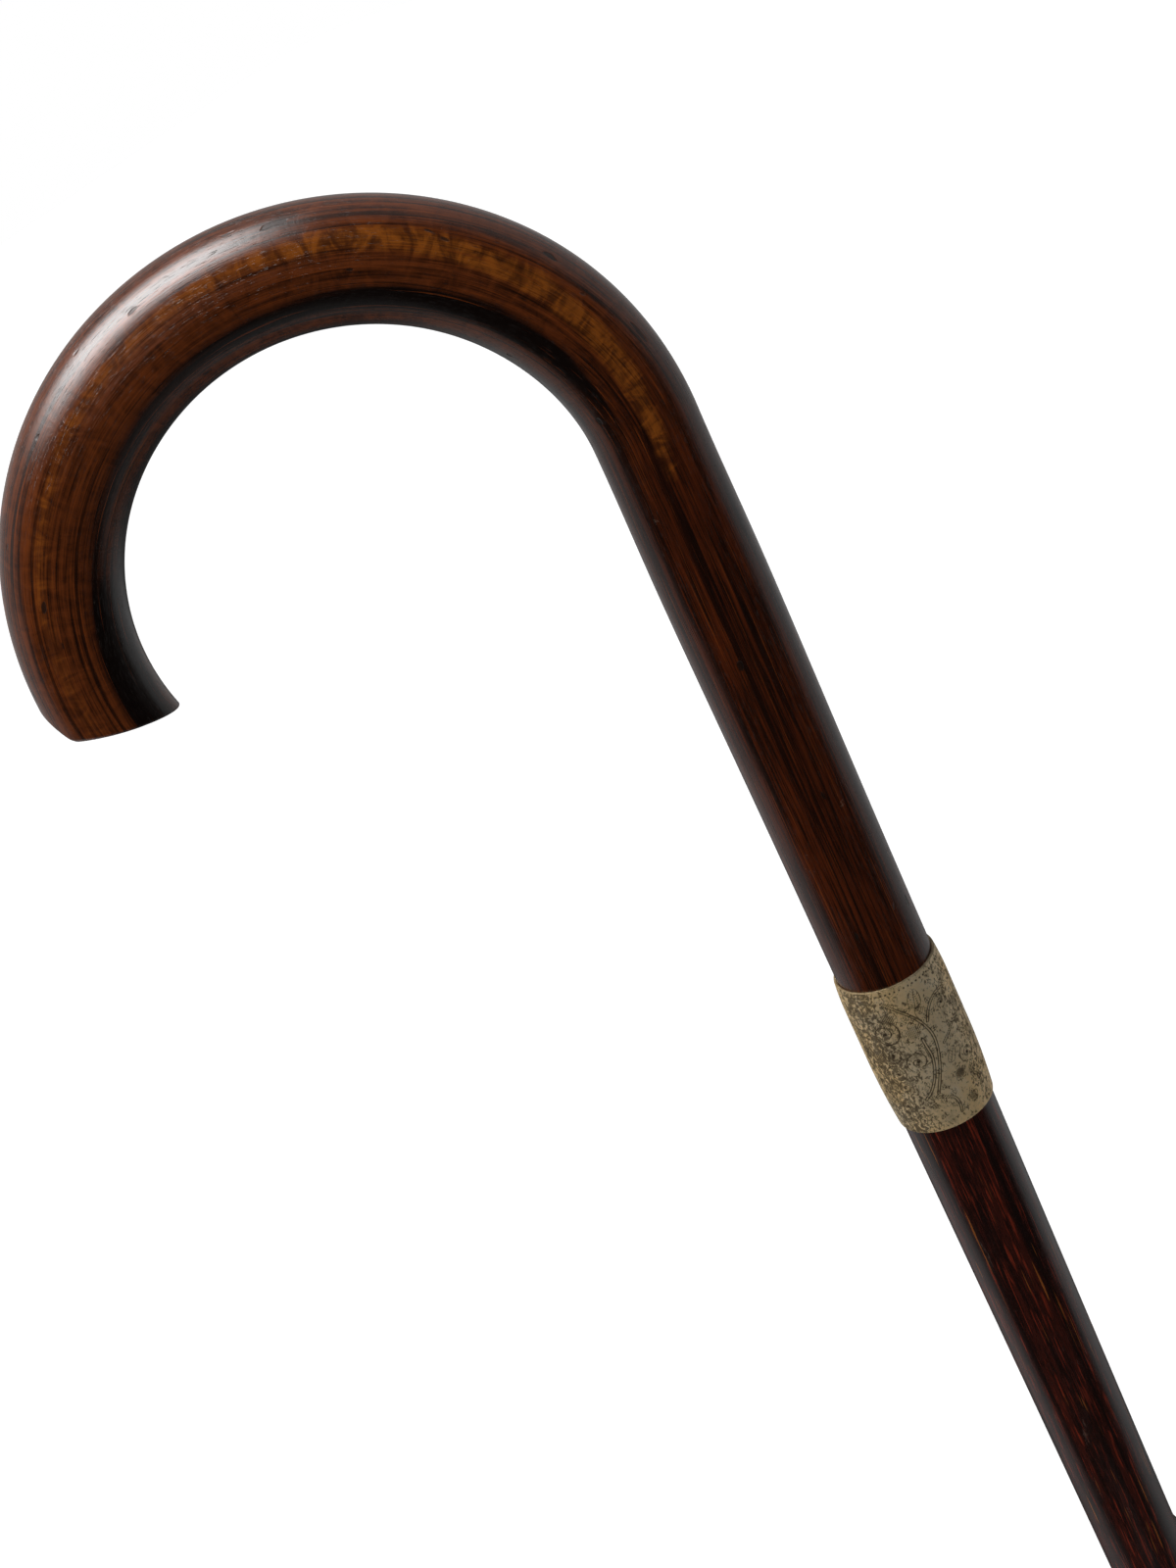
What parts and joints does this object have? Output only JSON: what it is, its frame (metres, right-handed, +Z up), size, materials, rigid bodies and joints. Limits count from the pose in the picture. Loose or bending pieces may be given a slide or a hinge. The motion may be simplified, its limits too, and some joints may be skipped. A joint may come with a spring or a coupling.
{
  "type": "walking cane",
  "caption": "Crook-handled wooden walking cane with an engraved metal collar over its spliced shaft and a ferrule on its foot.",
  "frame": {"origin": "centre of the foot, on the underside of the iron tip", "axes": "+Z up the shaft, the crook bends over towards -X in the XZ plane, +Y away from the picture's side"},
  "size_m": [0.1341, 0.023, 0.8995],
  "materials": {
    "crook_wood": "old glossy varnish over red-brown wood with amber bands",
    "shaft_wood": "old glossy varnish over near-black wood with red-brown flecks",
    "dowel_wood": "bare planed hardwood",
    "collar_metal": "worn, engraved and tarnished pale metal, satin",
    "ferrule_brass": "dull, handled brass",
    "tip_iron": "worn bare iron",
    "nail_brass": "dull, handled brass"
  },
  "bodies": {
    "root": {"crook_handle": "crook_wood", "shaft": "shaft_wood", "joining_dowel": "dowel_wood", "collar": "collar_metal", "ferrule_sleeve": "ferrule_brass", "ferrule_tip": "tip_iron", "ferrule_nails": "nail_brass"}
  },
  "joints": []
}
